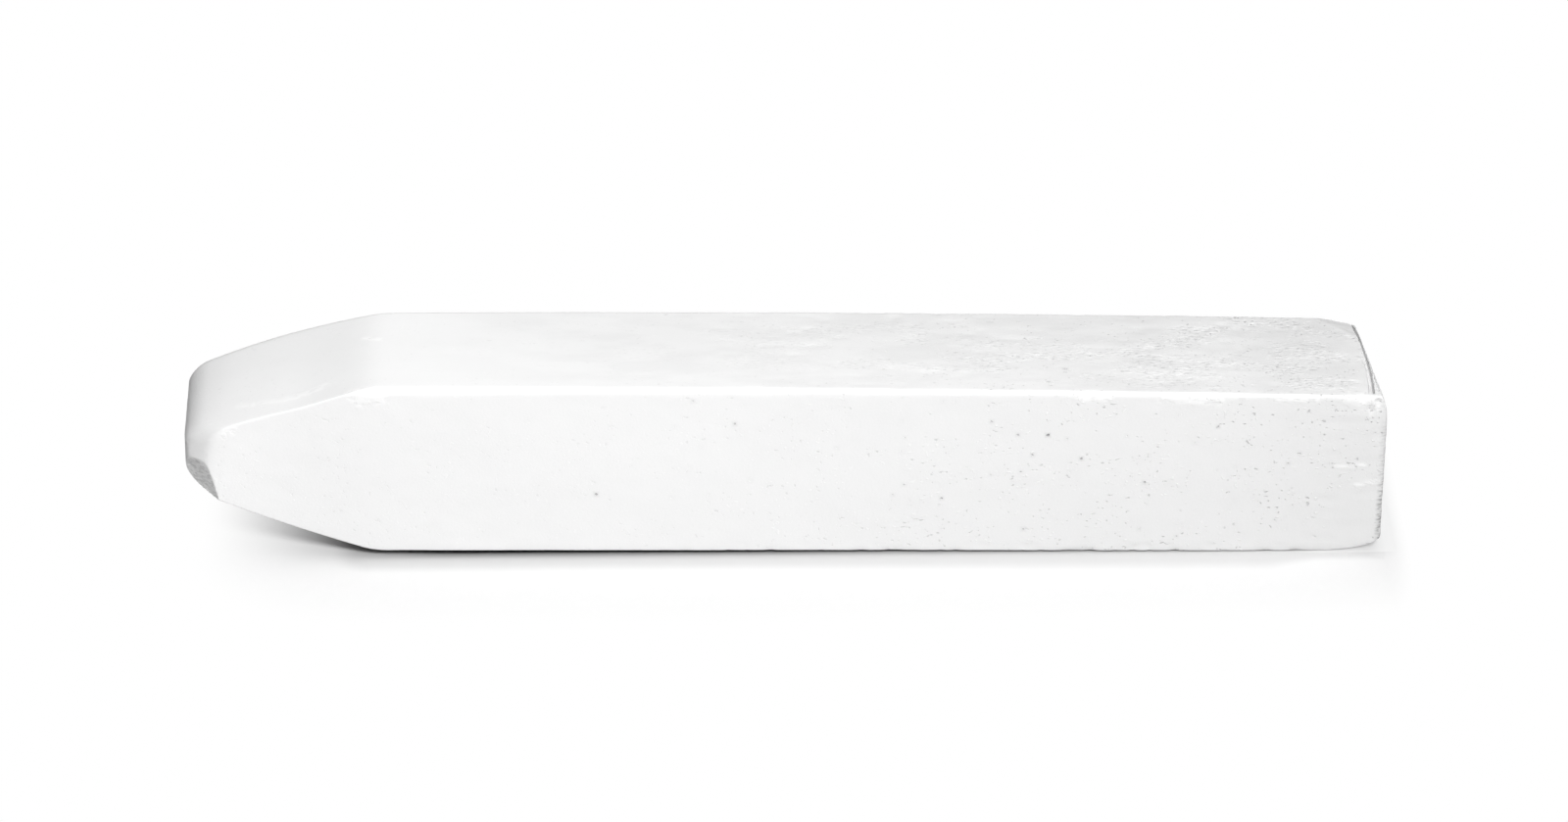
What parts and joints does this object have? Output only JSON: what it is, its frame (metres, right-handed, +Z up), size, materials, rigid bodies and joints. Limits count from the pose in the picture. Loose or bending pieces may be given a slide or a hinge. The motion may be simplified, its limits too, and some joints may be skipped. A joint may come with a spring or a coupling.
{
  "type": "chalk stick",
  "caption": "White cast chalk stick: a square bar with softened edges, a blunt tapered nose with a broken corner, and a squared butt, for marking and drawing.",
  "frame": {"origin": "centre of the stick's length and width, on the flat underside that it rests on", "axes": "+X along the stick from the tapered nose to the butt, +Z up from the resting face, -Y towards the side with the broken nose corner"},
  "size_m": [0.1, 0.0148, 0.0151],
  "materials": {
    "chalk": "matte, dry and slightly powdery, with small air pits"
  },
  "bodies": {
    "root": {"chalk_stick": "chalk"}
  },
  "joints": []
}
